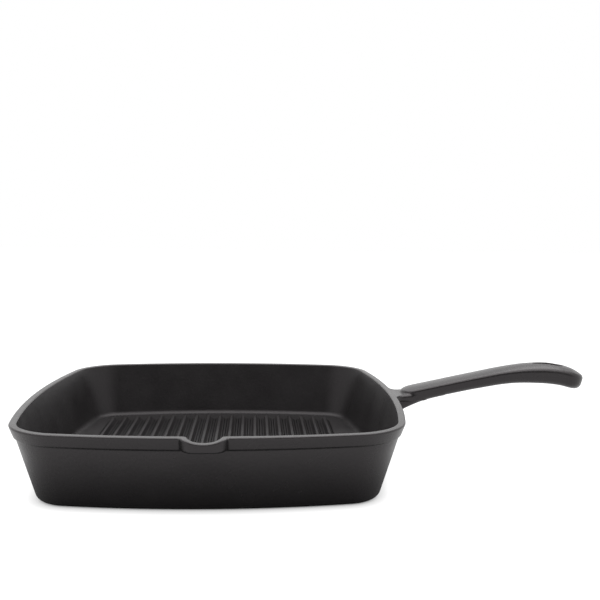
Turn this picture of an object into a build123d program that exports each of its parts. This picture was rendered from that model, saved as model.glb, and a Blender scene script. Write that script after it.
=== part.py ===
from build123d import *
from math import atan2, degrees, radians, sqrt, tan
import os

os.makedirs("parts", exist_ok=True)

# Square cast iron grill pan with one handle, in millimetres.
# The origin is the middle of the bowl on the plane it stands on.
# The handle runs along +X and the pouring lip faces -Y.

# Bowl outline at the rim: four gently bulged sides joined by round corners
rim_half_width = 140.0
side_radius = 565.6
corner_radius = 42.0

# Bowl heights
rim_height = 51.8
band_height = 8.6
floor_thickness = 5.0
foot_height = 2.0

# Bowl walls: how far each face leans outwards in degrees, and how wide its steps are
band_draft = 21.0
wall_draft = 17.1
inner_draft = 17.0
band_step = 1.15
land_width = 5.3
foot_width = 12.0

# Bowl edges
rim_edge_radius = 1.0
foot_edge_radius = 6.0
floor_corner_radius = 5.0

# How far the pouring lip and the ribs stand off the bowl's middle
pattern_place = -1.4

# Grill ribs: straight, side by side, with drafted flanks and round ends
rib_count = 19
rib_width = 6.0
rib_height = 3.8
rib_draft = 26.0
rib_end_border = 20.0
rib_side_border = 27.0
rib_crest_radius = 0.6

# Pouring lip near the middle of the front rim
lip_width = 31.4
lip_reach = 6.0
lip_draft = 8.0
lip_corner_radius = 9.0
lip_root_radius = 2.0
lip_margin = 4.0
dip_margin = 1.7
dip_depth = 2.5
dip_shoulder_radius = 14.0
scoop_drop = 0.5
scoop_slope = 22.0

# Handle: how far it reaches from the rim, and how high its crest stands above the rim
handle_reach = 151.3
handle_rise = 23.9
bar_half_width = 12.0
bar_thickness = 10.5
end_half_width = 15.0
end_thickness = 15.2
bar_crown = 1.2
end_crown = 3.6
bar_corner_radius = 5.5
bar_edge_radius = 1.8
end_edge_radius = 2.2

# Places along the handle, each as its share of the reach, the share of the rise
# that its top stands at, its tilt in degrees, and its place between bar and end size
bar_station_shares = [
    (0.106, 0.223, 12.0, 0.00),
    (0.243, 0.407, 12.0, 0.00),
    (0.411, 0.636, 12.0, 0.07),
    (0.581, 0.867, 10.5, 0.35),
    (0.716, 0.989, 4.0, 0.80),
    (0.823, 0.995, -4.5, 1.00),
    (0.912, 0.893, -16.0, 1.00),
]

# Where the handle is divided: lug and gusset to bar, and bar to hanging eye
lug_end_share = 0.19
eye_start_share = 0.70

# Handle lug: a flat tongue level with the rim, and the gusset that props it
lug_half_width = 13.2
lug_tip_half_width = 9.0
lug_length = 25.0
lug_depth = 4.5
lug_root_radius = 2.5
gusset_half_width = 11.0
gusset_end_share = 0.243
gusset_middle_share = 0.074
gusset_wall_drop = 21.0
gusset_middle_drop = 9.2
gusset_edge_radius = 4.0

# Teardrop hanging hole
hole_wide_radius = 5.5
hole_narrow_radius = 2.0
hole_spacing = 16.8
hole_place_share = 0.86
hole_tilt = -9.0

# Cutters run past what they cut by this much
overrun = 5.0

# Worked out from the sizes above
band_bottom = rim_height - band_height
floor_top = foot_height + floor_thickness
side_centre = side_radius - rim_half_width
corner_reach = side_radius - corner_radius
corner_centre = (sqrt(2 * corner_reach**2 - side_centre**2) - side_centre) / 2
side_angle = degrees(atan2(corner_centre, corner_centre + side_centre))


def wall_inset(height):
    """How far the wall's outer face lies inside the rim's outline at a height."""
    band_inset = band_height * tan(radians(band_draft))
    return band_inset + band_step + (band_bottom - height) * tan(radians(wall_draft))


def inner_inset(height):
    """How far the wall's inner face lies inside the rim's outline at a height."""
    return land_width + (rim_height - height) * tan(radians(inner_draft))


def outline(inset):
    """The bowl's plan outline, drawn inwards all round by inset, as a face."""
    with BuildSketch() as sketch:
        with BuildLine():
            for quarter in range(4):
                turn = 90 * quarter
                side_middle = Vector(-side_centre, 0).rotate(Axis.Z, turn)
                CenterArc(side_middle, side_radius - inset, turn - side_angle, 2 * side_angle)
                corner_middle = Vector(corner_centre, corner_centre).rotate(Axis.Z, turn)
                corner_turn = 90 - 2 * side_angle
                CenterArc(corner_middle, corner_radius - inset, turn + side_angle, corner_turn)
        make_face()
    return sketch.sketch


def lip_outline(inset):
    """The pouring lip's plan outline, drawn inwards by inset, as a face that reaches to the middle."""
    lip_front = rim_half_width + lip_reach
    with BuildSketch() as sketch:
        with Locations((pattern_place, inset - lip_front)):
            Rectangle(lip_width - 2 * inset, lip_front, align=(Align.CENTER, Align.MIN))
        fillet(sketch.vertices().sort_by(Axis.Y)[:2], radius=lip_corner_radius - inset)
    return sketch.sketch


def layer(solid, bottom, top):
    """The part of a solid between two heights."""
    with BuildPart() as cut:
        add(solid)
        split(bisect_by=Plane.XY.offset(bottom), keep=Keep.TOP)
        split(bisect_by=Plane.XY.offset(top), keep=Keep.BOTTOM)
    return cut.part


# The rim's solid shape with the pouring lip, before it is hollowed
with BuildPart() as rim_block:
    with BuildSketch(Plane.XY.offset(rim_height)):
        add(outline(0))
    extrude(amount=-band_height, taper=band_draft)
    with BuildSketch(Plane.XY.offset(rim_height)):
        add(lip_outline(0))
    extrude(amount=-band_height, taper=lip_draft)
    lip_edges = rim_block.edges().filter_by_position(Axis.X, pattern_place - lip_width, pattern_place + lip_width)
    root_edges = [lip_edges.sort_by(Axis.X)[0], lip_edges.sort_by(Axis.X)[-1]]
    fillet(root_edges, radius=lip_root_radius)

# What is scooped out of the lip: a dip across its top, and a slope that leads up to it
with BuildPart() as lip_dip:
    with BuildSketch(Plane((pattern_place, 0, 0), x_dir=(1, 0, 0), z_dir=(0, -1, 0))):
        with BuildLine():
            dip_half = lip_width / 2 - dip_margin
            dip_reach = (dip_half**2 + dip_depth**2) / (2 * dip_depth)
            dip_turn = degrees(atan2(dip_half, dip_reach - dip_depth))
            dip_top = rim_height + overrun
            valley_radius = dip_reach - dip_shoulder_radius
            valley_middle = (0, rim_height - dip_depth + valley_radius)
            shoulder_height = rim_height - dip_shoulder_radius
            CenterArc((-dip_half, shoulder_height), dip_shoulder_radius, 90, -dip_turn)
            CenterArc(valley_middle, valley_radius, 270 - dip_turn, 2 * dip_turn)
            CenterArc((dip_half, shoulder_height), dip_shoulder_radius, 90 + dip_turn, -dip_turn)
            Polyline((dip_half, rim_height), (dip_half, dip_top), (-dip_half, dip_top))
            Line((-dip_half, dip_top), (-dip_half, rim_height))
        make_face()
    extrude(amount=rim_half_width + lip_reach + overrun)

with BuildPart() as lip_scoop:
    with BuildSketch(Plane.XY.offset(rim_height)):
        add(lip_outline(land_width))
    extrude(amount=-band_height)
    scoop_edge = (0, land_width - rim_half_width - lip_reach, rim_height - dip_depth - scoop_drop)
    scoop_lean = Vector(0, 0, 1).rotate(Axis.X, -scoop_slope)
    split(bisect_by=Plane(scoop_edge, x_dir=(1, 0, 0), z_dir=scoop_lean))

# The whole bowl, from which its layers are taken
with BuildPart() as bowl:
    with BuildSketch():
        add(outline(wall_inset(0)))
    extrude(amount=band_bottom, taper=-wall_draft)
    add(rim_block.part)
    with BuildSketch(Plane.XY.offset(floor_top)):
        add(outline(inner_inset(floor_top)))
    extrude(amount=rim_height - floor_top, taper=-inner_draft, mode=Mode.SUBTRACT)
    with BuildSketch():
        add(outline(wall_inset(0) + foot_width))
    extrude(amount=foot_height, taper=wall_draft, mode=Mode.SUBTRACT)
    add(lip_dip.part, mode=Mode.SUBTRACT)
    add(lip_scoop.part, mode=Mode.SUBTRACT)
    land_faces = bowl.faces().filter_by(
        lambda face: face.center().Z > rim_height - dip_depth - scoop_drop and face.normal_at().Z > 0.6
    )
    land_edges = [edge for face in land_faces for edge in face.edges()]
    fillet([edge for edge in land_edges if land_edges.count(edge) == 1], radius=rim_edge_radius)
    standing_face = bowl.faces().sort_by(Axis.Z)[0]
    fillet(standing_face.outer_wire().edges(), radius=foot_edge_radius)
    floor_edges = bowl.edges().filter_by_position(Axis.Z, floor_top, floor_top)
    fillet(floor_edges, radius=floor_corner_radius)

with BuildPart() as foot_ring:
    add(layer(bowl.part, 0, foot_height))

with BuildPart() as floor_plate:
    add(layer(bowl.part, foot_height, floor_top))

with BuildPart() as side_wall:
    add(layer(bowl.part, floor_top, band_bottom))

# The rim band has a gap at the front, which the pouring lip's own stretch of rim fills
with BuildPart() as lip_stretch:
    with Locations((pattern_place, -rim_half_width, rim_height)):
        Box(lip_width + 2 * lip_margin, corner_radius, rim_height)

with BuildPart() as rim_band:
    add(layer(bowl.part, band_bottom, rim_height))
    add(lip_stretch.part, mode=Mode.SUBTRACT)

with BuildPart() as pour_spout:
    add(layer(bowl.part, band_bottom, rim_height))
    add(lip_stretch.part, mode=Mode.INTERSECT)

# Grill ribs, each as long as the floor is at its place
floor_inset = inner_inset(floor_top)
rib_inset = floor_inset + rib_end_border
rib_pitch = 2 * (rim_half_width - floor_inset - rib_side_border) / (rib_count - 1)
for number in range(rib_count):
    rib_place = pattern_place + (number - (rib_count - 1) / 2) * rib_pitch
    rib_end = sqrt((side_radius - rib_inset) ** 2 - rib_place**2) - side_centre
    with BuildPart() as grill_rib:
        with BuildSketch(Plane.XY.offset(floor_top)):
            with Locations((rib_place, 0)):
                SlotOverall(2 * rib_end, rib_width, rotation=90)
        extrude(amount=rib_height, taper=rib_draft)
        fillet(grill_rib.edges().group_by(Axis.Z)[-1], radius=rib_crest_radius)
    grill_rib.part.label = f"grill_rib_{number + 1:02d}"
    export_step(grill_rib.part, f"parts/{grill_rib.part.label}.step")


def handle_plane(share, rise_share, tilt):
    """The plane across the handle at a share of its reach, with its origin on the crest."""
    crest = (rim_half_width + share * handle_reach, 0, rim_height + rise_share * handle_rise)
    return Plane(crest, x_dir=(0, 1, 0), z_dir=Vector(1, 0, 0).rotate(Axis.Y, -tilt))


def cross_section(growth):
    """The handle's cross section: crowned top, upright sides and rounded edges."""
    half_width = bar_half_width + growth * (end_half_width - bar_half_width)
    thickness = bar_thickness + growth * (end_thickness - bar_thickness)
    crown = bar_crown + growth * (end_crown - bar_crown)
    edge_radius = bar_edge_radius + growth * (end_edge_radius - bar_edge_radius)
    crown_radius = (half_width**2 + crown**2) / (2 * crown)
    edge_reach = crown_radius - edge_radius
    edge_middle = half_width - edge_radius
    side_top = sqrt(edge_reach**2 - edge_middle**2) - crown_radius
    crown_end = edge_middle * crown_radius / edge_reach
    crown_drop = sqrt(crown_radius**2 - crown_end**2) - crown_radius
    side_bottom = bar_corner_radius - thickness
    bottom_end = half_width - bar_corner_radius
    with BuildSketch() as sketch:
        with BuildLine():
            ThreePointArc((-crown_end, crown_drop), (0, 0), (crown_end, crown_drop))
            RadiusArc((crown_end, crown_drop), (half_width, side_top), edge_radius)
            Line((half_width, side_top), (half_width, side_bottom))
            RadiusArc((half_width, side_bottom), (bottom_end, -thickness), bar_corner_radius)
            Line((bottom_end, -thickness), (-bottom_end, -thickness))
            RadiusArc((-bottom_end, -thickness), (-half_width, side_bottom), bar_corner_radius)
            Line((-half_width, side_bottom), (-half_width, side_top))
            RadiusArc((-half_width, side_top), (-crown_end, crown_drop), edge_radius)
        make_face()
    return sketch.sketch


def round_end(plane, growth, turn):
    """A rounded end: half of the cross section turned about its middle line."""
    with BuildPart() as end:
        with BuildSketch(plane):
            add(cross_section(growth))
            split(bisect_by=Plane.YZ)
        revolve(axis=Axis(plane.origin, plane.y_dir * turn), revolution_arc=180)
    return end.part


# The whole handle, from which its pieces are taken
with BuildPart() as bar:
    for share, rise_share, tilt, growth in bar_station_shares:
        with BuildSketch(handle_plane(share, rise_share, tilt)):
            add(cross_section(growth))
    loft()
    add(round_end(handle_plane(*bar_station_shares[0][:3]), bar_station_shares[0][3], 1))
    add(round_end(handle_plane(*bar_station_shares[-1][:3]), bar_station_shares[-1][3], -1))

with BuildPart() as lug:
    with BuildSketch(Plane.XY.offset(rim_height)):
        with BuildLine():
            lug_root = rim_half_width - land_width / 2
            lug_side = lug_half_width + lug_root_radius
            lug_shoulder = rim_half_width + lug_root_radius
            lug_tip = rim_half_width + lug_length
            Polyline((lug_root, 0), (lug_root, lug_side), (rim_half_width, lug_side))
            RadiusArc((rim_half_width, lug_side), (lug_shoulder, lug_half_width), -lug_root_radius)
            Polyline((lug_shoulder, lug_half_width), (lug_tip, lug_tip_half_width), (lug_tip, 0))
            mirror(about=Plane.XZ)
        make_face()
    extrude(amount=-lug_depth)

with BuildPart() as gusset:
    with BuildSketch(Plane.XZ):
        with BuildLine():
            root_height = rim_height - gusset_wall_drop
            root = rim_half_width - wall_inset(root_height)
            middle = rim_half_width + gusset_middle_share * handle_reach
            middle_height = rim_height - gusset_middle_drop
            end = rim_half_width + gusset_end_share * handle_reach
            end_bottom = rim_height + bar_station_shares[1][1] * handle_rise - bar_thickness
            end_middle = end_bottom + bar_thickness / 2
            lug_middle = rim_height - lug_depth / 2
            ThreePointArc((root, root_height), (middle, middle_height), (end, end_bottom))
            Polyline((end, end_bottom), (end, end_middle), (rim_half_width, lug_middle))
            Polyline((rim_half_width, lug_middle), (root, lug_middle), (root, root_height))
        make_face()
    extrude(amount=gusset_half_width, both=True)
    lower_edges = gusset.faces().filter_by(GeomType.CYLINDER).edges().filter_by(GeomType.CIRCLE)
    fillet(lower_edges, radius=gusset_edge_radius)

with BuildPart() as hanging_hole:
    hole_place = rim_half_width + hole_place_share * handle_reach
    hole_axis = Vector(0, 0, 1).rotate(Axis.Y, -hole_tilt)
    with BuildSketch(Plane((hole_place, 0, rim_height + handle_rise), x_dir=(0, 1, 0), z_dir=hole_axis)):
        Circle(hole_wide_radius)
        with Locations((0, hole_spacing)):
            Circle(hole_narrow_radius)
        make_hull()
    extrude(amount=-(handle_rise + end_thickness))

with BuildPart() as handle:
    add(bar.part)
    add(lug.part)
    add(gusset.part)
    add(bowl.part, mode=Mode.SUBTRACT)
    add(hanging_hole.part, mode=Mode.SUBTRACT)
outer_handle = handle.solids().sort_by(Axis.X)[-1]

lug_end = Plane.YZ.offset(rim_half_width + lug_end_share * handle_reach)
lug_underside = Plane.XY.offset(rim_height - lug_depth)
eye_start = Plane.YZ.offset(rim_half_width + eye_start_share * handle_reach)

with BuildPart() as handle_lug:
    add(outer_handle)
    split(bisect_by=lug_end, keep=Keep.BOTTOM)
    split(bisect_by=lug_underside, keep=Keep.TOP)

with BuildPart() as handle_gusset:
    add(outer_handle)
    split(bisect_by=lug_end, keep=Keep.BOTTOM)
    split(bisect_by=lug_underside, keep=Keep.BOTTOM)

with BuildPart() as handle_bar:
    add(outer_handle)
    split(bisect_by=lug_end, keep=Keep.TOP)
    split(bisect_by=eye_start, keep=Keep.BOTTOM)

with BuildPart() as hanging_eye:
    add(outer_handle)
    split(bisect_by=eye_start, keep=Keep.TOP)

foot_ring.part.label = "foot_ring"
floor_plate.part.label = "floor_plate"
side_wall.part.label = "side_wall"
rim_band.part.label = "rim_band"
pour_spout.part.label = "pour_spout"
handle_lug.part.label = "handle_lug"
handle_gusset.part.label = "handle_gusset"
handle_bar.part.label = "handle_bar"
hanging_eye.part.label = "hanging_eye"

export_step(foot_ring.part, "parts/foot_ring.step")
export_step(floor_plate.part, "parts/floor_plate.step")
export_step(side_wall.part, "parts/side_wall.step")
export_step(rim_band.part, "parts/rim_band.step")
export_step(pour_spout.part, "parts/pour_spout.step")
export_step(handle_lug.part, "parts/handle_lug.step")
export_step(handle_gusset.part, "parts/handle_gusset.step")
export_step(handle_bar.part, "parts/handle_bar.step")
export_step(hanging_eye.part, "parts/hanging_eye.step")
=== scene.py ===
from math import atan2, cos, pi, radians, sin, sqrt, tan

import bpy
import numpy as np
from mathutils import Matrix, Vector


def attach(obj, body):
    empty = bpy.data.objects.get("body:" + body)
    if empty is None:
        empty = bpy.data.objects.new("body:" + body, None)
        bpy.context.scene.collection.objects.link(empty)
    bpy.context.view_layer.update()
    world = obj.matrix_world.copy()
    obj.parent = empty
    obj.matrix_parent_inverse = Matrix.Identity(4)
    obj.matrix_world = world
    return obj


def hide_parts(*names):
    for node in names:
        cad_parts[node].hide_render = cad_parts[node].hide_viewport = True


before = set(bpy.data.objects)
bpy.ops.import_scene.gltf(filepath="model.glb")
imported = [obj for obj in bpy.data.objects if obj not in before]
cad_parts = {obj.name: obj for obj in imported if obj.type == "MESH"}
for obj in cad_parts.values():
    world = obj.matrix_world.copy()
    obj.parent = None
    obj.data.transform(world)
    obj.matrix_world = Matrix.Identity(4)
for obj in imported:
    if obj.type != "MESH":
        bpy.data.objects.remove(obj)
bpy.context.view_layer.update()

# Every length here is in millimetres until mesh_object() turns it into metres.

# Plan outline of the bowl at the rim: four bulged sides joined by round corners
RIM_HALF = 140.0
SIDE_RADIUS = 565.6
CORNER_RADIUS = 42.0
SIDE_CENTRE = SIDE_RADIUS - RIM_HALF
CORNER_REACH = SIDE_RADIUS - CORNER_RADIUS
CORNER_CENTRE = (sqrt(2 * CORNER_REACH**2 - SIDE_CENTRE**2) - SIDE_CENTRE) / 2
SIDE_ANGLE = atan2(CORNER_CENTRE, CORNER_CENTRE + SIDE_CENTRE)

# Heights and slopes of the bowl
RIM_Z = 51.8
BAND_Z = 43.2
FLOOR_Z = 7.0
FOOT_Z = 2.0
BAND_DRAFT = radians(21.0)
WALL_DRAFT = radians(17.1)
INNER_DRAFT = radians(17.0)
BAND_SLOPE = tan(BAND_DRAFT)
WALL_SLOPE = tan(WALL_DRAFT)
INNER_SLOPE = tan(INNER_DRAFT)
BAND_STEP = 1.15
LAND = 5.3
FOOT_WIDTH = 12.0
FOOT_EDGE = 6.0
STEP_RADIUS = 1.7
STEP_TILT = radians(66.0)
EDGE = 1.0
RECESS_BORDER = 4.0
RECESS_RADIUS = 0.9
FOOT_INNER_EDGE = 0.7
FLOOR_CORNER = 5.0
WALL_TOP_INSET = (RIM_Z - BAND_Z) * BAND_SLOPE + BAND_STEP
FOOT_INSET = WALL_TOP_INSET + BAND_Z * WALL_SLOPE
FLOOR_INSET = LAND + (RIM_Z - FLOOR_Z) * INNER_SLOPE

# The pouring lip and the ribs stand this far off the middle
PATTERN_X = -1.4

# Pouring lip
LIP_HALF = 15.8
LIP_REACH = 6.0
LIP_DRAFT = radians(8.0)
LIP_SLOPE = tan(LIP_DRAFT)
LIP_CORNER = 10.0
LIP_ROOT = 2.0
LIP_STEP_RADIUS = 2.2
DIP_HALF = 14.2
DIP_DEPTH = 2.5
DIP_SHOULDER = 14.0
SCOOP_ROOT = 2.5
SCOOP_DROP = 0.5
SCOOP_Z = RIM_Z - DIP_DEPTH - SCOOP_DROP
SCOOP_SLOPE = tan(radians(22.0))
SCOOP_END_Z = 44.1
LIP_STRETCH = 22.0


def mesh_object(name, points, faces, normals=None):
    """A smooth-shaded mesh object from points in millimetres, with its own normals if given."""
    mesh = bpy.data.meshes.new(name)
    mesh.from_pydata((np.asarray(points) * 0.001).tolist(), [], faces)
    mesh.validate()
    mesh.shade_smooth()
    if normals is not None:
        mesh.normals_split_custom_set_from_vertices(np.asarray(normals).tolist())
    piece = bpy.data.objects.new(name, mesh)
    bpy.context.scene.collection.objects.link(piece)
    return piece


def area_normals(points, faces):
    """Point normals in which each face counts by its area, so that flat faces stay flat."""
    normals = np.zeros_like(points)
    for size in (3, 4):
        group = np.array([face for face in faces if len(face) == size])
        if len(group) == 0:
            continue
        corners = points[group]
        if size == 4:
            across = np.cross(corners[:, 2] - corners[:, 0], corners[:, 3] - corners[:, 1])
        else:
            across = np.cross(corners[:, 1] - corners[:, 0], corners[:, 2] - corners[:, 0])
        for corner in range(size):
            np.add.at(normals, group[:, corner], across)
    return normals / np.maximum(np.linalg.norm(normals, axis=1, keepdims=True), 1e-12)


def rounded(points, radii, steps):
    """A 2D line through points whose inner corners are rounded to the given radii."""
    line = [np.array(points[0], float)]
    for before, corner, after, radius in zip(points, points[1:], points[2:], radii):
        corner = np.array(corner, float)
        back = np.array(before, float) - corner
        ahead = np.array(after, float) - corner
        back /= np.linalg.norm(back)
        ahead /= np.linalg.norm(ahead)
        half = np.arccos(np.clip(back @ ahead, -1, 1)) / 2
        reach = radius / np.tan(half)
        middle = corner + (back + ahead) / np.linalg.norm(back + ahead) * radius / np.sin(half)
        start = corner + back * reach - middle
        end = corner + ahead * reach - middle
        turn = np.arccos(np.clip(start @ end / radius**2, -1, 1))
        for step in range(steps + 1):
            share = step / steps
            blend = np.sin((1 - share) * turn) * start + np.sin(share * turn) * end
            line.append(middle + blend / np.sin(turn))
    line.append(np.array(points[-1], float))
    return line


# Bowl: rings of points that follow the outline, from the middle of the underside,
# up the outside, over the rim and down the inside to the middle of the floor

def outline_arc(centre, radius, start, end, steps):
    """Points on an arc of the outline with their outward normals, without the last one."""
    angles = np.linspace(start, end, steps + 1)[:-1]
    normals = np.stack([np.cos(angles), np.sin(angles)], 1)
    return np.array(centre) + radius * normals, normals


def bulged_side(xs, inset):
    """Points on the front side at the given places along X, with their outward normals."""
    radius = SIDE_RADIUS - inset
    points = np.stack([xs, SIDE_CENTRE - np.sqrt(radius**2 - xs**2)], 1)
    return points, (points - [0, SIDE_CENTRE]) / radius


SIDE_COLUMNS, ROOT_COLUMNS, CORNER_COLUMNS, FRONT_COLUMNS = 8, 9, 11, 14
CHANNEL_COLUMNS = 8
HALF_COLUMNS = SIDE_COLUMNS + ROOT_COLUMNS + CORNER_COLUMNS + FRONT_COLUMNS


def half_lip(side_inset, lip_inset, root, lean):
    """The left half of the lip's outline from the side to its middle, with its outward normals.

    The insets are given for every column; lean is where the side's own middle stands.
    """
    side_middle = np.array([lean, SIDE_CENTRE])
    corner_middle = np.array([LIP_CORNER - LIP_HALF, LIP_CORNER - RIM_HALF - LIP_REACH])
    side = SIDE_RADIUS - side_inset
    corner = LIP_CORNER - lip_inset
    across = corner_middle - side_middle
    apart = np.hypot(*across)
    across /= apart
    along = ((side + root) ** 2 - (corner + root) ** 2 + apart**2) / (2 * apart)
    beside = np.sqrt((side + root) ** 2 - along**2)
    sideways = np.array([across[1], -across[0]])
    middle = side_middle + along[:, None] * across + beside[:, None] * sideways
    to_side = side_middle - middle
    to_corner = corner_middle - middle
    side_turn = np.arctan2(to_side[:, 1], to_side[:, 0])
    corner_turn = np.arctan2(to_corner[:, 1], to_corner[:, 0])
    side_end = middle[:, 0] + root * np.cos(side_turn)
    points, normals = np.zeros((HALF_COLUMNS, 2)), np.zeros((HALF_COLUMNS, 2))
    first, second, third = np.cumsum([SIDE_COLUMNS, ROOT_COLUMNS, CORNER_COLUMNS])
    part = slice(0, first)
    share = np.arange(SIDE_COLUMNS) / SIDE_COLUMNS
    xs = -LIP_STRETCH + share * (side_end[part] + LIP_STRETCH)
    points[part] = np.stack([xs, SIDE_CENTRE - np.sqrt(side[part] ** 2 - (xs - lean) ** 2)], 1)
    normals[part] = (points[part] - side_middle) / side[part, None]
    part = slice(first, second)
    share = np.arange(ROOT_COLUMNS) / ROOT_COLUMNS
    angles = side_turn[part] + share * (corner_turn[part] - side_turn[part])
    turn = np.stack([np.cos(angles), np.sin(angles)], 1)
    points[part] = middle[part] + root * turn
    normals[part] = -turn
    part = slice(second, third)
    share = np.arange(CORNER_COLUMNS) / CORNER_COLUMNS
    start = corner_turn[part] - pi
    angles = start + share * (-pi / 2 - start)
    turn = np.stack([np.cos(angles), np.sin(angles)], 1)
    points[part] = corner_middle + corner[part, None] * turn
    normals[part] = turn
    part = slice(third, HALF_COLUMNS)
    share = np.arange(FRONT_COLUMNS) / (FRONT_COLUMNS - 1)
    xs = corner_middle[0] * (1 - share)
    points[part] = np.stack([xs, lip_inset[part] - RIM_HALF - LIP_REACH], 1)
    normals[part] = (0, -1)
    return points, normals


def lip_line(side_inset, lip_inset, root):
    """The lip's whole outline from left to right, with its outward normals."""
    side_inset = np.broadcast_to(side_inset, 2 * HALF_COLUMNS - 1)
    lip_inset = np.broadcast_to(lip_inset, 2 * HALF_COLUMNS - 1)
    flip = np.array([-1.0, 1.0])
    left = half_lip(side_inset[:HALF_COLUMNS], lip_inset[:HALF_COLUMNS], root, -PATTERN_X)
    side_back, lip_back = side_inset[::-1], lip_inset[::-1]
    right = half_lip(side_back[:HALF_COLUMNS], lip_back[:HALF_COLUMNS], root, PATTERN_X)
    points = np.vstack([left[0], right[0][-2::-1] * flip]) + [PATTERN_X, 0]
    return points, np.vstack([left[1], right[1][-2::-1] * flip])


def dip(xs):
    """How far the rim's top lies below the rim's height at a place along X."""
    reach = (DIP_HALF**2 + DIP_DEPTH**2) / (2 * DIP_DEPTH)
    turn = atan2(DIP_HALF, reach - DIP_DEPTH)
    valley = reach - DIP_SHOULDER
    away = np.abs(xs - PATTERN_X)
    in_valley = DIP_DEPTH - valley + np.sqrt(np.maximum(valley**2 - away**2, 0))
    past = np.clip(DIP_HALF - away, 0, DIP_SHOULDER)
    in_shoulder = DIP_SHOULDER - np.sqrt(DIP_SHOULDER**2 - past**2)
    return np.where(away < valley * sin(turn), in_valley, in_shoulder)


def smooth(share):
    """0 to 1 with level ends."""
    share = np.clip(share, 0, 1)
    return share * share * (3 - 2 * share)


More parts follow.
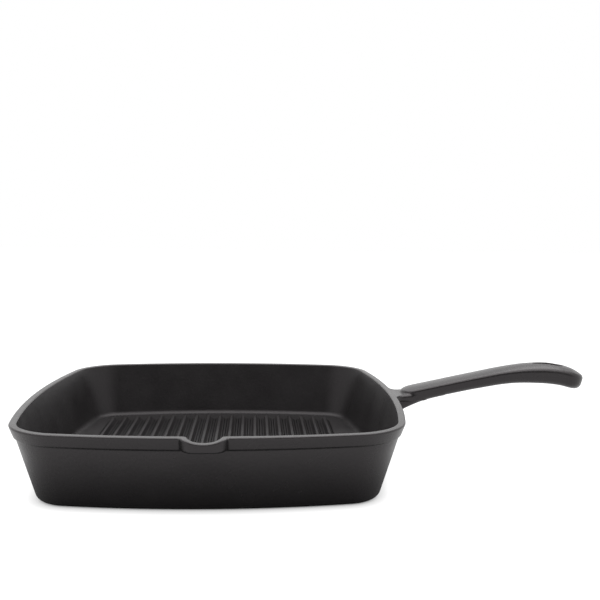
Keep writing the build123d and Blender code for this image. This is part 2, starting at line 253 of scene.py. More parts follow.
def bowl():
    """The whole bowl as one closed mesh."""
    plain, plain_normals, lip_columns = [], [], None
    inner, inner_normals = lip_line(LAND, LAND, SCOOP_ROOT)
    lengths = np.concatenate([[0], np.cumsum(np.linalg.norm(np.diff(inner, axis=0), axis=1))])
    lip_xs = PATTERN_X + LIP_STRETCH * (2 * lengths / lengths[-1] - 1)
    lip_plain, lip_plain_normals = bulged_side(lip_xs, 0)
    for quarter in range(4):
        turn = quarter * pi / 2
        centre = (-SIDE_CENTRE * cos(turn), -SIDE_CENTRE * sin(turn))
        if quarter == 3:
            left_end = np.arcsin((PATTERN_X - LIP_STRETCH) / SIDE_RADIUS)
            right_end = np.arcsin((PATTERN_X + LIP_STRETCH) / SIDE_RADIUS)
            before, after = (turn - SIDE_ANGLE, turn + left_end), (turn + right_end, turn + SIDE_ANGLE)
            spans = [(*before, 22), None, (*after, 22)]
        else:
            spans = [(turn - SIDE_ANGLE, turn + SIDE_ANGLE, 40)]
        for span in spans:
            if span is None:
                lip_columns = sum(len(points) for points in plain)
                plain.append(lip_plain[:-1])
                plain_normals.append(lip_plain_normals[:-1])
            else:
                points, normals = outline_arc(centre, SIDE_RADIUS, *span)
                plain.append(points)
                plain_normals.append(normals)
        corner = (
            CORNER_CENTRE * (cos(turn) - sin(turn)),
            CORNER_CENTRE * (sin(turn) + cos(turn)),
        )
        corner_end = turn + pi / 2 - SIDE_ANGLE
        points, normals = outline_arc(corner, CORNER_RADIUS, turn + SIDE_ANGLE, corner_end, 28)
        plain.append(points)
        plain_normals.append(normals)
    plain = np.vstack(plain)
    plain_normals = np.vstack(plain_normals)
    count = len(plain)
    lip = slice(lip_columns, lip_columns + len(inner) - 1)
    in_lip = np.zeros(count)
    in_lip[lip] = 1
    edge, edge_normals = plain - LAND * plain_normals, plain_normals.copy()
    edge[lip], edge_normals[lip] = inner[:-1], inner_normals[:-1]
    column = np.arange(len(inner) - 1)
    from_end = np.minimum(column, len(inner) - 1 - column)
    channel = np.zeros(count)
    channel[lip] = smooth((from_end - SIDE_COLUMNS) / CHANNEL_COLUMNS)
    lip_share = np.zeros(count)
    lip_share[lip] = smooth((from_end - SIDE_COLUMNS) / ROOT_COLUMNS)
    at_rim = plain.copy()
    at_rim[lip] = lip_line(1.0, 1.0, LIP_ROOT)[0][:-1]
    drop = dip(at_rim[:, 0]) * in_lip

    rows = []

    def add_row(base, directions, inset, heights):
        plan = base - np.reshape(inset, (-1, 1)) * directions
        rows.append(np.column_stack([plan, np.broadcast_to(heights, count)]))

    def add_band_row(band_inset, lip_inset, heights):
        """A row on the rim band, where the lip has its own outline."""
        band_inset = np.broadcast_to(band_inset, count)
        lip_inset = np.broadcast_to(lip_inset, count)
        plan = plain - band_inset[:, None] * plain_normals
        around = slice(lip.start, lip.stop + 1)
        plan[lip] = lip_line(band_inset[around], lip_inset[around], LIP_ROOT)[0][:-1]
        rows.append(np.column_stack([plan, np.broadcast_to(heights, count)]))

    # Underside, foot ring and outer wall up to the step under the rim band
    recess_inset = FOOT_INSET + FOOT_WIDTH
    under_end = recess_inset + RECESS_BORDER
    for share in (0.15, 0.4, 0.65, 0.85, 0.96):
        plan = (plain - under_end * plain_normals) * share
        rows.append(np.column_stack([plan, np.full(count, FOOT_Z)]))
    step_low = BAND_Z - STEP_RADIUS * (sin(STEP_TILT) - sin(WALL_DRAFT))
    step_inset = WALL_TOP_INSET + (BAND_Z - step_low) * WALL_SLOPE
    outer_line = rounded(
        [(under_end, FOOT_Z), (recess_inset + FOOT_Z * WALL_SLOPE, FOOT_Z), (recess_inset, 0),
         (FOOT_INSET, 0), (step_inset, step_low)],
        [RECESS_RADIUS, FOOT_INNER_EDGE, FOOT_EDGE], 7,
    )
    for inset, height in outer_line[:-1]:
        add_row(plain, plain_normals, inset, height)
    wall_low = outer_line[-2][1]
    for share in (0.03, 0.25, 0.5, 0.75, 0.97):
        level = wall_low + share * (step_low - wall_low)
        add_row(plain, plain_normals, FOOT_INSET - level * WALL_SLOPE, level)
    for tilt in np.linspace(WALL_DRAFT, STEP_TILT, 7):
        inset = step_inset - STEP_RADIUS * (cos(WALL_DRAFT) - cos(tilt))
        add_row(plain, plain_normals, inset, step_low + STEP_RADIUS * (sin(tilt) - sin(WALL_DRAFT)))

    # Rim band, with the lip's own outline
    end_tilt = BAND_DRAFT + lip_share * (LIP_DRAFT - BAND_DRAFT)
    step_radius = STEP_RADIUS + lip_share * (LIP_STEP_RADIUS - STEP_RADIUS)
    band_low = BAND_Z + step_radius * (sin(STEP_TILT) - np.sin(end_tilt))
    for share in np.linspace(0, 1, 7):
        tilt = STEP_TILT + share * (end_tilt - STEP_TILT)
        out = step_radius * (np.cos(end_tilt) - np.cos(tilt))
        heights = band_low - step_radius * (np.sin(tilt) - np.sin(end_tilt))
        rise = RIM_Z - band_low
        add_band_row(rise * BAND_SLOPE + out, rise * LIP_SLOPE + out, heights)
    top_z = RIM_Z - drop - EDGE * (1 + np.sin(end_tilt))
    for share in (0.06, 0.35, 0.65, 0.94):
        heights = band_low + share * (top_z - band_low)
        add_band_row((RIM_Z - heights) * BAND_SLOPE, (RIM_Z - heights) * LIP_SLOPE, heights)
    for share in np.linspace(0, 1, 11):
        angle = -end_tilt + share * (pi / 2 + end_tilt)
        band_inset = EDGE / tan((pi / 2 - BAND_DRAFT) / 2) + drop * BAND_SLOPE - EDGE * np.cos(angle)
        lip_inset = EDGE / tan((pi / 2 - LIP_DRAFT) / 2) + drop * LIP_SLOPE - EDGE * np.cos(angle)
        add_band_row(band_inset, lip_inset, RIM_Z - drop - EDGE + EDGE * np.sin(angle))

    # Land: the rim's flat top
    inner_tangent = EDGE * tan((pi / 2 - INNER_DRAFT) / 2)
    land_start = rows[-1][:, :2]
    land_end = edge + inner_tangent * edge_normals
    for share in (0.08, 0.5, 0.92, 1.0):
        plan = land_start + share * (land_end - land_start)
        rows.append(np.column_stack([plan, RIM_Z - dip(plan[:, 0]) * in_lip]))

    # Inner edge, the lip's scoop and the inner wall
    edge_drop = dip(land_end[:, 0]) * in_lip
    for angle in np.linspace(pi / 2, INNER_DRAFT, 7)[1:]:
        heights = RIM_Z - edge_drop - EDGE + EDGE * sin(angle)
        add_row(land_end, edge_normals, EDGE * cos(angle), heights)
    start = rows[-1]
    inner_row = len(rows) - 1
    end_inset = LAND + (RIM_Z - SCOOP_END_Z) * INNER_SLOPE
    end_plan = plain - end_inset * plain_normals
    for share in (0.03, 0.08, 0.14, 0.21, 0.3, 0.42, 0.56, 0.7, 0.84, 0.95):
        plan = start[:, :2] + share * (end_plan - start[:, :2])
        wall = start[:, 2] + share * (SCOOP_END_Z - start[:, 2])
        slide = SCOOP_Z - SCOOP_SLOPE * (plan[:, 1] + RIM_HALF + LIP_REACH - LAND)
        slide_start = SCOOP_Z - SCOOP_SLOPE * (start[:, 1] + RIM_HALF + LIP_REACH - LAND)
        slide_end = SCOOP_Z - SCOOP_SLOPE * (end_plan[:, 1] + RIM_HALF + LIP_REACH - LAND)
        fall = 1 - smooth(share / 0.3)
        scoop = slide + (start[:, 2] - slide_start) * fall + (SCOOP_END_Z - slide_end) * share**5
        rows.append(np.column_stack([plan, wall + channel * (scoop - wall)]))
    for level in (SCOOP_END_Z, 43.0, 36.0, 28.0, 20.0, 12.0, 10.9):
        add_row(plain, plain_normals, LAND + (RIM_Z - level) * INNER_SLOPE, level)
    floor_line = rounded(
        [(LAND, RIM_Z), (FLOOR_INSET, FLOOR_Z), (FLOOR_INSET + 20, FLOOR_Z)], [FLOOR_CORNER], 10
    )
    for inset, height in floor_line[1:-1]:
        add_row(plain, plain_normals, inset, height)
    last = rows[-1][:, :2]
    for share in (0.985, 0.9, 0.75, 0.55, 0.3, 0.1):
        rows.append(np.column_stack([last * share, np.full(count, FLOOR_Z)]))

    points = np.vstack(rows + [np.array([[0, 0, FOOT_Z], [0, 0, FLOOR_Z]])])
    under, middle = len(points) - 2, len(points) - 1
    faces = []
    for row in range(len(rows) - 1):
        for column in range(count):
            after = (column + 1) % count
            low, high = row * count, (row + 1) * count
            faces.append((low + column, low + after, high + after, high + column))
    top = (len(rows) - 1) * count
    for column in range(count):
        after = (column + 1) % count
        faces.append((after, column, under))
        faces.append((top + column, top + after, middle))
    piece = mesh_object("pan_bowl", points, faces, area_normals(points, faces))
    inside = piece.data.attributes.new("inside", "INT", "FACE")
    row_of_face = [
        min(face) // count if max(face) < under else max(face[:2]) // count for face in faces
    ]
    inside.data.foreach_set("value", [int(row >= inner_row) for row in row_of_face])
    return piece


# Grill ribs: long ridges with round ends, drafted flanks and rounded crests

RIB_COUNT = 19
RIB_WIDTH = 6.0
RIB_HEIGHT = 3.8
RIB_DRAFT = radians(26.0)
RIB_END_BORDER = 20.0
RIB_SIDE_BORDER = 27.0
RIB_SKIRT = 1.6
RIB_FOOT_RADIUS = 1.3
RIB_CREST_RADIUS = 0.9

def ribs():
    """All the grill ribs as one mesh, standing on the floor."""
    end_inset = FLOOR_INSET + RIB_END_BORDER
    pitch = 2 * (RIM_HALF - FLOOR_INSET - RIB_SIDE_BORDER) / (RIB_COUNT - 1)
    foot_reach = RIB_WIDTH / 2
    top_reach = foot_reach - RIB_HEIGHT * tan(RIB_DRAFT)
    profile = rounded(
        [(foot_reach + RIB_SKIRT, 0), (foot_reach, 0), (top_reach, RIB_HEIGHT), (0, RIB_HEIGHT)],
        [RIB_FOOT_RADIUS, RIB_CREST_RADIUS], 5,
    )
    points, faces = [], []
    for number in range(RIB_COUNT):
        place = PATTERN_X + (number - (RIB_COUNT - 1) / 2) * pitch
        middle = sqrt((SIDE_RADIUS - end_inset) ** 2 - place**2) - SIDE_CENTRE - foot_reach
        straight = np.linspace(-middle, middle, 13)
        turns = np.linspace(0, pi, 17)
        around_x = np.concatenate([np.ones(12), np.cos(turns), -np.ones(11), -np.cos(turns[:-1])])
        around_y = np.concatenate([np.zeros(12), np.sin(turns), np.zeros(11), -np.sin(turns[:-1])])
        along = np.concatenate(
            [straight[:-1], np.full(17, middle), straight[-2:0:-1], np.full(16, -middle)]
        )
        count = len(along)
        base = len(points)
        for reach, level in profile[:-1]:
            level_z = np.full(count, FLOOR_Z + level)
            points.extend(np.column_stack([place + reach * around_x, along + reach * around_y, level_z]))
        crest = len(points)
        for y in straight:
            points.append(np.array([place, y, FLOOR_Z + RIB_HEIGHT]))
        row_count = len(profile) - 1
        for row in range(row_count - 1):
            for column in range(count):
                after = (column + 1) % count
                low, high = base + row * count, base + (row + 1) * count
                faces.append((low + column, low + after, high + after, high + column))
        ring = base + (row_count - 1) * count
        for column in range(count):
            after = (column + 1) % count
            if column < 12:
                faces.append((ring + column, ring + after, crest + column + 1, crest + column))
            elif column < 28:
                faces.append((ring + column, ring + after, crest + 12))
            elif column < 40:
                faces.append((ring + column, ring + after, crest + 39 - column, crest + 40 - column))
            else:
                faces.append((ring + column, ring + after, crest))
    points = np.array(points)
    return mesh_object("grill_ribs", points, faces, area_normals(points, faces))


# Handle: one smooth surface that covers the bar, its round ends, the lug, the gusset
# and the concave fillets where they leave the wall

def spline_table(xs, ys, slopes=None):
    """A dense table of a smooth curve through places, for np.interp."""
    xs, ys = np.array(xs, float), np.array(ys, float)
    if slopes is None:
        slopes = np.gradient(ys, xs)
    dense = np.linspace(xs[0], xs[-1], 400)
    span = np.clip(np.searchsorted(xs, dense, side="right") - 1, 0, len(xs) - 2)
    width = xs[span + 1] - xs[span]
    share = (dense - xs[span]) / width
    values = (
        (2 * share**3 - 3 * share**2 + 1) * ys[span]
        + (share**3 - 2 * share**2 + share) * width * slopes[span]
        + (3 * share**2 - 2 * share**3) * ys[span + 1]
        + (share**3 - share**2) * width * slopes[span + 1]
    )
    return dense, values


HANDLE_REACH = 151.3
HANDLE_RISE = 23.9
BAR_HALF_WIDTH, END_HALF_WIDTH = 12.0, 15.0
BAR_THICKNESS, END_THICKNESS = 10.5, 15.2
BAR_CROWN, END_CROWN = 1.2, 3.6
BAR_EDGE, END_EDGE = 1.8, 2.2
BAR_CORNER = 5.5

# Share of the reach, share of the rise, tilt in degrees and how far the section has grown
STATION_SHARES = [
    (0.106, 0.223, 12.0, 0.00),
    (0.243, 0.407, 12.0, 0.00),
    (0.411, 0.636, 12.0, 0.07),
    (0.581, 0.867, 10.5, 0.35),
    (0.716, 0.989, 4.0, 0.80),
    (0.823, 0.995, -4.5, 1.00),
    (0.912, 0.893, -16.0, 1.00),
]
station_x = np.array([RIM_HALF + share * HANDLE_REACH for share, _, _, _ in STATION_SHARES])
station_z = [RIM_Z + rise * HANDLE_RISE for _, rise, _, _ in STATION_SHARES]
station_slope = np.tan(np.radians([tilt for _, _, tilt, _ in STATION_SHARES]))
crest_table = spline_table(station_x, station_z, station_slope)
slope_table = (crest_table[0], np.gradient(crest_table[1], crest_table[0]))
growth_table = spline_table(station_x, [growth for _, _, _, growth in STATION_SHARES])


def round_max(first, second, radius):
    """The overlap of two solids given by distances, with the edge between them rounded."""
    corner = np.hypot(np.maximum(first + radius, 0), np.maximum(second + radius, 0))
    return np.minimum(np.maximum(first, second), -radius) + corner


def round_min(first, second, radius):
    """Two solids given by distances joined with a concave fillet."""
    corner = np.hypot(np.maximum(radius - first, 0), np.maximum(radius - second, 0))
    return np.maximum(np.minimum(first, second), radius) - corner


def bar_distance(x, y, z):
    """Distance from the handle's bar with its round nose and tip."""
    along = np.clip(x, station_x[0], station_x[-1])
    for _ in range(8):
        height = np.interp(along, *crest_table)
        slope = np.interp(along, *slope_table)
        along = along + ((x - along) + (z - height) * slope) / (1 + slope**2)
        along = np.clip(along, station_x[0], station_x[-1])
    height = np.interp(along, *crest_table)
    slope = np.interp(along, *slope_table)
    scale = np.sqrt(1 + slope**2)
    past = ((x - along) + (z - height) * slope) / scale
    above = ((z - height) - (x - along) * slope) / scale
    growth = np.interp(along, *growth_table)
    away = np.hypot(past, y)
    half_width = BAR_HALF_WIDTH + (END_HALF_WIDTH - BAR_HALF_WIDTH) * growth
    thickness = BAR_THICKNESS + (END_THICKNESS - BAR_THICKNESS) * growth
    crown = BAR_CROWN + (END_CROWN - BAR_CROWN) * growth
    edge = BAR_EDGE + (END_EDGE - BAR_EDGE) * growth
    crown_radius = (half_width**2 + crown**2) / (2 * crown)
    top = np.hypot(away, above + crown_radius) - crown_radius
    section = round_max(top, away - half_width, edge)
    return round_max(section, -(above + thickness), BAR_CORNER)


def wall_distance(x, y, z):
    """Distance from the outside of the bowl's right wall and rim band, without the rim's top."""
    bulge = np.hypot(x + SIDE_CENTRE, y) - SIDE_RADIUS
    band = (bulge + (RIM_Z - z) * BAND_SLOPE) * cos(BAND_DRAFT)
    wall = (bulge + WALL_TOP_INSET + (BAND_Z - z) * WALL_SLOPE) * cos(WALL_DRAFT)
    return round_min(round_max(band, BAND_Z - z, 0.4), wall, 0.5)


def bowl_distance(x, y, z):
    """Distance from the bowl's outside near the handle, the rim's top included."""
    return round_max(wall_distance(x, y, z), z - RIM_Z, EDGE)


LUG_ROOT_HALF_WIDTH, LUG_TIP_HALF_WIDTH = 13.4, 11.0
LUG_LENGTH = 25.5
LUG_NARROWING = 24.0
LUG_DEPTH = 4.6
LUG_CORNER = 6.0
LUG_EDGE = 1.6


def lug_distance(x, y, z):
    """Distance from the lug, without its top."""
    share = smooth((x - RIM_HALF) / LUG_NARROWING)
    half_width = LUG_ROOT_HALF_WIDTH - (LUG_ROOT_HALF_WIDTH - LUG_TIP_HALF_WIDTH) * share
    plan = round_max(np.abs(y) - half_width, x - (RIM_HALF + LUG_LENGTH), LUG_CORNER)
    return round_max(plan, (RIM_Z - LUG_DEPTH) - z, LUG_EDGE)


# Points of the gusset's curved underside, along X and Z, and its other sizes
GUSSET_POINTS = np.array([(131.0, 30.8), (151.2, 42.6), (176.8, 51.0)])
GUSSET_HALF_WIDTH = 11.0
GUSSET_EDGE = 4.0
GUSSET_TOP_Z = 50.0
GUSSET_TOP_SLOPE = 0.18
GUSSET_END_X = 178.0


def circle_through(points):
    """Centre and radius of the circle through three points."""
    (ax, ay), (bx, by), (cx, cy) = points
    matrix = np.array([[bx - ax, by - ay], [cx - ax, cy - ay]])
    right = np.array([(bx**2 - ax**2 + by**2 - ay**2) / 2, (cx**2 - ax**2 + cy**2 - ay**2) / 2])
    centre = np.linalg.solve(matrix, right)
    return centre, np.hypot(*(np.array([ax, ay]) - centre))


gusset_centre, gusset_radius = circle_through(GUSSET_POINTS)


def gusset_distance(x, y, z):
    """Distance from the gusset that props the bar against the wall."""
    underside = gusset_radius - np.hypot(x - gusset_centre[0], z - gusset_centre[1])
    body = round_max(np.abs(y) - GUSSET_HALF_WIDTH, underside, GUSSET_EDGE)
    top = z - (GUSSET_TOP_Z + (x - RIM_HALF) * GUSSET_TOP_SLOPE)
    return np.maximum(body, np.maximum(top, x - GUSSET_END_X))


HOLE_PLACE_SHARE = 0.860
HOLE_ORIGIN = (RIM_HALF + HOLE_PLACE_SHARE * HANDLE_REACH, RIM_Z + HANDLE_RISE)
HOLE_WIDE, HOLE_NARROW, HOLE_SPACING = 5.5, 2.0, 16.8
HOLE_TILT = radians(9.0)


def hole_distance(x, y, z):
    """Distance from the teardrop hanging hole's wall, negative inside the hole."""
    inwards = -(x - HOLE_ORIGIN[0]) * cos(HOLE_TILT) + (z - HOLE_ORIGIN[1]) * sin(HOLE_TILT)
    lean = (HOLE_WIDE - HOLE_NARROW) / HOLE_SPACING
    upright = sqrt(1 - lean**2)
    aside = np.abs(y)
    place = inwards * upright - aside * lean
    flank = aside * upright + inwards * lean - HOLE_WIDE
    at_wide = np.hypot(aside, inwards) - HOLE_WIDE
    at_narrow = np.hypot(aside, inwards - HOLE_SPACING) - HOLE_NARROW
    return np.where(place < 0, at_wide, np.where(place > upright * HOLE_SPACING, at_narrow, flank))


PROP_FILLET = 0.8
ROOT_FILLET = 5.0
BAR_FILLET = 1.1
HOLE_EDGE = 1.3


def handle_distance(x, y, z):
    """Distance from the whole handle and the wall that it grows from."""
    prop = round_min(lug_distance(x, y, z), gusset_distance(x, y, z), PROP_FILLET)
    root = round_min(wall_distance(x, y, z), prop, ROOT_FILLET)
    rise = 0.085 * np.maximum(x - 142.0, 0)
    root = round_max(root, z - (RIM_Z + rise), EDGE + 1.6 * smooth((x - 139.0) / 6))
    whole = round_min(root, bar_distance(x, y, z), BAR_FILLET)
    return round_max(whole, -hole_distance(x, y, z), HOLE_EDGE)


def surface_net(distance, low, high, step):
    """Points and faces of the surface where a distance is zero, from a grid of cells."""
    axes = [np.arange(low[i], high[i] + step, step) for i in range(3)]
    grid = np.meshgrid(*axes, indexing="ij")
    values = distance(*grid)
    inside = values < 0
    shape = np.array(values.shape) - 1
    corners = [(i, j, k) for i in (0, 1) for j in (0, 1) for k in (0, 1)]

    def corner_view(array, corner):
        return array[tuple(slice(corner[i], corner[i] + shape[i]) for i in range(3))]

    total = sum(corner_view(inside, corner).astype(np.int8) for corner in corners)
    mixed = (total > 0) & (total < 8)
    index = np.full(tuple(shape), -1)
    cells = np.argwhere(mixed)
    index[mixed] = np.arange(len(cells))
    sums, hits = np.zeros((len(cells), 3)), np.zeros(len(cells))
    for first in corners:
        for axis in range(3):
            if first[axis]:
                continue
            second = tuple(first[i] + (i == axis) for i in range(3))
            a = values[tuple((cells + first).T)]
            b = values[tuple((cells + second).T)]
            crossing = (a < 0) != (b < 0)
            share = np.where(crossing, a / np.where(a == b, 1, a - b), 0)
            place = np.tile(np.array(first, float), (len(cells), 1))
            place[:, axis] += share
            sums[crossing] += place[crossing]
            hits[crossing] += 1
    points = (cells + sums / hits[:, None]) * step + np.array(low)
    faces = []
    for axis in range(3):
        one, two = [(1, 2), (2, 0), (0, 1)][axis]
        size = list(values.shape)
        here = [slice(1, size[i] - 1) for i in range(3)]
        here[axis] = slice(0, size[axis] - 1)
        there = list(here)
        there[axis] = slice(1, size[axis])
        change = inside[tuple(here)] != inside[tuple(there)]
        places = np.argwhere(change)
        for i in range(3):
            places[:, i] += here[i].start
        leaving = inside[tuple(places.T)]
        ring = []
        for back_one, back_two in ((1, 1), (0, 1), (0, 0), (1, 0)):
            cell = places.copy()
            cell[:, one] -= back_one
            cell[:, two] -= back_two
            ring.append(index[tuple(cell.T)])
        ring = np.stack(ring, 1)
        ring[~leaving] = ring[~leaving][:, ::-1]
        faces.append(ring)
    return points, np.vstack(faces)


def gradient(distance, points):
    """The slope of a distance at points, by central differences."""
    reach = 0.02
    slopes = np.zeros_like(points)
    for axis in range(3):
        offset = np.zeros(3)
        offset[axis] = reach
        slopes[:, axis] = distance(*(points + offset).T) - distance(*(points - offset).T)
    return slopes / (2 * reach)


NET_LOW, NET_HIGH = (134.0, -27.0, 26.0), (295.0, 27.0, 79.0)
NET_STEP = 0.62


def handle():
    """The handle's surface, cut off where it has merged into the bowl's."""
    points, faces = surface_net(handle_distance, NET_LOW, NET_HIGH, NET_STEP)
    for _ in range(4):
        slopes = gradient(handle_distance, points)
        size = np.maximum((slopes**2).sum(1), 0.05)
        points = points - slopes * (handle_distance(*points.T) / size)[:, None]
    normals = gradient(handle_distance, points)
    normals /= np.linalg.norm(normals, axis=1, keepdims=True)
    clear = bowl_distance(*points.T) > 0.004
    faces = faces[clear[faces].any(1)]
    used, faces = np.unique(faces, return_inverse=True)
    faces = faces.reshape(-1, 4)
    return mesh_object("pan_handle", points[used], faces.tolist(), normals[used])


# Materials

def node(tree, kind, **inputs):
    """A new shader node with values or links for its inputs."""
    made = tree.nodes.new(kind)
    for key, value in inputs.items():
        numbered = key[0] == "i" and key[1:].isdigit()
        socket = made.inputs[int(key[1:]) if numbered else key.replace("_", " ")]
        if isinstance(value, bpy.types.NodeSocket):
            tree.links.new(value, socket)
        else:
            socket.default_value = value
    return made


def ramp(tree, source, stops):
    """A colour ramp fed by a value, with stops that are greys or colours."""
    made = tree.nodes.new("ShaderNodeValToRGB")
    tree.links.new(source, made.inputs[0])
    elements = made.color_ramp.elements
    while len(elements) < len(stops):
        elements.new(0.5)
    for element, (place, level) in zip(elements, stops):
        element.position = place
        element.color = (*level, 1) if isinstance(level, tuple) else (level, level, level, 1)
    return made.outputs["Color"]


IRON_DARK, IRON_LIGHT = (0.0165, 0.0150, 0.0156), (0.0225, 0.0208, 0.0214)


def cast_iron(name, smooth_level, rough_level, gloss, lightness):
    """Seasoned cast iron: nearly black, satin, with a fine sand-cast grain."""
    material = bpy.data.materials.new(name)
    material.use_nodes = True
    tree = material.node_tree
    tree.nodes.clear()
    place = tree.nodes.new("ShaderNodeTexCoord").outputs["Object"]
    patches = node(tree, "ShaderNodeTexNoise", Vector=place, Scale=38.0, Detail=4.0, Roughness=0.55)
    grain = node(tree, "ShaderNodeTexNoise", Vector=place, Scale=1500.0, Detail=3.0, Roughness=0.6)
    pebble = node(tree, "ShaderNodeTexNoise", Vector=place, Scale=420.0, Detail=2.0, Roughness=0.5)
    colour = ramp(tree, patches.outputs["Fac"], [(0.3, IRON_DARK), (0.7, IRON_LIGHT)])
    # Lightness scales the speckle's levels, so below 1 it darkens the whole colour: painted shade.
    speckle = ramp(tree, grain.outputs["Fac"], [(0.35, 0.86 * lightness), (0.65, 1.16 * lightness)])
    tint = tree.nodes.new("ShaderNodeMix")
    tint.data_type = "RGBA"
    tint.blend_type = "MULTIPLY"
    tint.inputs[0].default_value = 1.0
    tree.links.new(colour, tint.inputs[6])
    tree.links.new(speckle, tint.inputs[7])
    rough = ramp(tree, patches.outputs["Fac"], [(0.3, smooth_level), (0.7, rough_level)])
    fine = node(tree, "ShaderNodeBump", Height=grain.outputs["Fac"], Strength=0.35, Distance=0.00012)
    both = node(
        tree, "ShaderNodeBump", Height=pebble.outputs["Fac"], Normal=fine.outputs["Normal"],
        Strength=0.3, Distance=0.0003,
    )
    shader = node(
        tree, "ShaderNodeBsdfPrincipled", Base_Color=tint.outputs[2], Roughness=rough,
        Normal=both.outputs["Normal"],
    )
    shader.inputs["IOR"].default_value = 1.5
    shader.inputs["Specular IOR Level"].default_value = gloss
    shader.inputs["Specular Tint"].default_value = (1.0, 0.94, 0.965, 1)
    output = tree.nodes.new("ShaderNodeOutputMaterial")
    tree.links.new(shader.outputs[0], output.inputs[0])
    return material


outer_iron = cast_iron("cast_iron_outside", 0.22, 0.30, 0.5, 1.0)
# The cooking side's colour is darkened to 0.75 of the outside's. This is painted shade for the shade that
# falls inside the bowl and between the ribs.
inner_iron = cast_iron("cast_iron_cooking_side_painted_shade", 0.34, 0.42, 0.36, 0.75)
pan_bowl = bowl()
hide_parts("foot_ring", "floor_plate", "side_wall", "rim_band", "pour_spout")
grill_ribs = ribs()
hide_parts(*[f"grill_rib_{number:02d}" for number in range(1, RIB_COUNT + 1)])
pan_handle = handle()
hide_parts("handle_lug", "handle_gusset", "handle_bar", "hanging_eye")
for piece, finish in ((pan_bowl, outer_iron), (grill_ribs, inner_iron), (pan_handle, outer_iron)):
    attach(piece, "root")
    piece.data.materials.append(finish)
# Faces inside the bowl take the cooking side's material, whose darker colour is painted shade.
pan_bowl.data.materials.append(inner_iron)
inside = pan_bowl.data.attributes["inside"]
for face, mark in zip(pan_bowl.data.polygons, inside.data):
    face.material_index = mark.value
pan_bowl.data.attributes.remove(inside)


# Studio: a white floor, a surround, a soft light overhead and the camera

def ray_kinds(tree):
    """The share of camera rays, and of reflection and refraction rays, as two values."""
    path = tree.nodes.new("ShaderNodeLightPath")
    glossy, through = path.outputs["Is Glossy Ray"], path.outputs["Is Transmission Ray"]
    mirror = node(tree, "ShaderNodeMath", i0=glossy, i1=through)
    mirror.operation = "MAXIMUM"
    return path.outputs["Is Camera Ray"], mirror.outputs[0]


def floor():
    """A large white floor that keeps the pan's shadow."""
    size = 6.0
    mesh = bpy.data.meshes.new("floor")
    corners = [(-size, -size, 0), (size, -size, 0), (size, size, 0), (-size, size, 0)]
    mesh.from_pydata(corners, [], [(0, 1, 2, 3)])
    piece = bpy.data.objects.new("floor", mesh)
    bpy.context.scene.collection.objects.link(piece)
    piece.location.z = -0.00005
    material = bpy.data.materials.new("white_floor")
    material.use_nodes = True
    tree = material.node_tree
    tree.nodes.clear()
    camera_ray, mirror_ray = ray_kinds(tree)
    colour = tree.nodes.new("ShaderNodeMix")
    colour.data_type = "RGBA"
    tree.links.new(mirror_ray, colour.inputs[0])
    colour.inputs[6].default_value = (0.3, 0.3, 0.3, 1)
    colour.inputs[7].default_value = (0, 0, 0, 1)
    lit = node(tree, "ShaderNodeBsdfDiffuse", Color=colour.outputs[2])
    glows = []
    for ray, reach, power in ((camera_ray, 0.010, 0.50), (mirror_ray, 0.05, 2.5)):
        shade = node(tree, "ShaderNodeAmbientOcclusion", Distance=reach)
        shade.samples = 12
        depth = node(tree, "ShaderNodeMath", i0=shade.outputs["AO"], i1=power)
        depth.operation = "POWER"
        glow = node(tree, "ShaderNodeMath", i0=depth.outputs[0], i1=ray)
        glow.operation = "MULTIPLY"
        glows.append(glow.outputs[0])
    strength = node(tree, "ShaderNodeMath", i0=glows[0], i1=glows[1])
    white = node(tree, "ShaderNodeEmission", Color=(1, 1, 1, 1), Strength=strength.outputs[0])
    both = node(tree, "ShaderNodeAddShader", i0=lit.outputs[0], i1=white.outputs[0])
    output = tree.nodes.new("ShaderNodeOutputMaterial")
    tree.links.new(both.outputs[0], output.inputs[0])
    piece.data.materials.append(material)


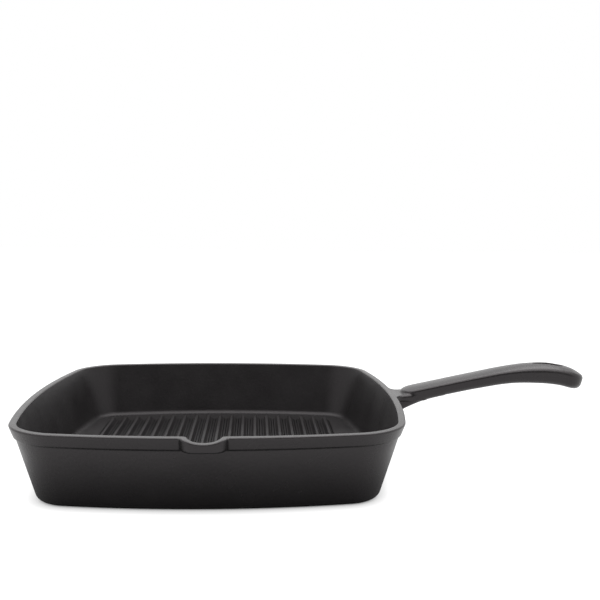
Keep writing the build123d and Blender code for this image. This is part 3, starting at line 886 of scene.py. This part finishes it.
def surround():
    """White to the camera. In reflections white behind and beside the pan, and in front of it
    bright near the horizon and dark above; dim for all other light.
    """
    world = bpy.data.worlds.new("studio")
    world.use_nodes = True
    tree = world.node_tree
    tree.nodes.clear()
    direction = tree.nodes.new("ShaderNodeTexCoord").outputs["Generated"]
    parts = node(tree, "ShaderNodeSeparateXYZ", Vector=direction)
    front = tree.nodes.new("ShaderNodeMapRange")
    tree.links.new(parts.outputs["Z"], front.inputs["Value"])
    beside = tree.nodes.new("ShaderNodeMapRange")
    tree.links.new(parts.outputs["Y"], beside.inputs["Value"])
    for ranged, values in ((front, (0.10, 0.26, 0.75, 0.06)), (beside, (-0.97, -0.5, 0.0, 1.0))):
        ranged.interpolation_type = "SMOOTHSTEP"
        for key, value in zip(("From Min", "From Max", "To Min", "To Max"), values):
            ranged.inputs[key].default_value = value
    backdrop = node(tree, "ShaderNodeMix", i0=beside.outputs["Result"], i2=front.outputs["Result"], i3=1.0)
    camera_ray, mirror_ray = ray_kinds(tree)
    mirrored = node(tree, "ShaderNodeMix", i0=mirror_ray)
    mirrored.inputs[2].default_value = 0.3
    tree.links.new(backdrop.outputs[0], mirrored.inputs[3])
    strength = node(tree, "ShaderNodeMath", i0=mirrored.outputs[0], i1=camera_ray)
    strength.operation = "MAXIMUM"
    background = node(tree, "ShaderNodeBackground", Color=(1, 1, 1, 1), Strength=strength.outputs[0])
    output = tree.nodes.new("ShaderNodeOutputWorld")
    tree.links.new(background.outputs[0], output.inputs[0])
    bpy.context.scene.world = world


def soft_light(name, place, target, size, power):
    """A square soft light that faces a target, both in metres."""
    light = bpy.data.lights.new(name, "AREA")
    light.shape = "SQUARE"
    light.size = size
    light.energy = power
    piece = bpy.data.objects.new(name, light)
    piece.location = place
    piece.rotation_euler = (Vector(target) - Vector(place)).to_track_quat("-Z", "Y").to_euler()
    bpy.context.scene.collection.objects.link(piece)


# The photograph's camera, fitted to the pan: turns in radians, place in metres, lens in mm
YAW, PITCH, ROLL = 0.0559, 0.0878, 0.0118
CAMERA_PLACE = (0.029357, -0.625708, 0.179916)
LENS = 48.410
SENSOR_WIDTH = 36.0


def camera():
    """The camera at the photograph's place."""
    right = Vector((cos(YAW), -sin(YAW), 0))
    ahead = Vector((sin(YAW), cos(YAW), 0))
    up = ahead * sin(PITCH) + Vector((0, 0, cos(PITCH)))
    forward = ahead * cos(PITCH) - Vector((0, 0, sin(PITCH)))
    across = right * cos(ROLL) + up * sin(ROLL)
    upward = up * cos(ROLL) - right * sin(ROLL)
    data = bpy.data.cameras.new("camera")
    data.sensor_width = SENSOR_WIDTH
    data.lens = LENS
    piece = bpy.data.objects.new("camera", data)
    axes = Matrix((across, upward, -forward)).transposed()
    piece.matrix_world = Matrix.Translation(CAMERA_PLACE) @ axes.to_4x4()
    bpy.context.scene.collection.objects.link(piece)
    bpy.context.scene.camera = piece


floor()
surround()
soft_light("overhead", (0.05, 0.25, 1.3), (0.05, 0.25, 0.0), 2.2, 28.0)
camera()
bpy.context.scene.view_settings.view_transform = "Standard"
